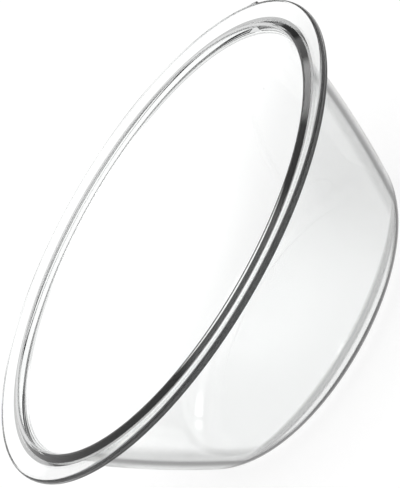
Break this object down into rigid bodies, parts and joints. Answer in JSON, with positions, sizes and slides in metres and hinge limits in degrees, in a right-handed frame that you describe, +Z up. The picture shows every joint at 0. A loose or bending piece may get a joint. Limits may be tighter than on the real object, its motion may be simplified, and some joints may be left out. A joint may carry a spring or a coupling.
{
  "type": "flanged glass bowl",
  "caption": "Clear pressed-glass bowl with a flat base, tapered wall, wide dished flange with a bevelled lip, and a locating nib on its edge; holds or shields contents.",
  "frame": {"origin": "centre of the underside of the flat base, on the bowl's axis", "axes": "+Z up along the bowl's axis, out of the mouth; +X towards the middle of the nib on the flange's edge"},
  "size_m": [0.3421, 0.3402, 0.118],
  "materials": {
    "glass": "clear, fire-polished gloss"
  },
  "bodies": {
    "root": {"glass_bowl": "glass"}
  },
  "joints": []
}
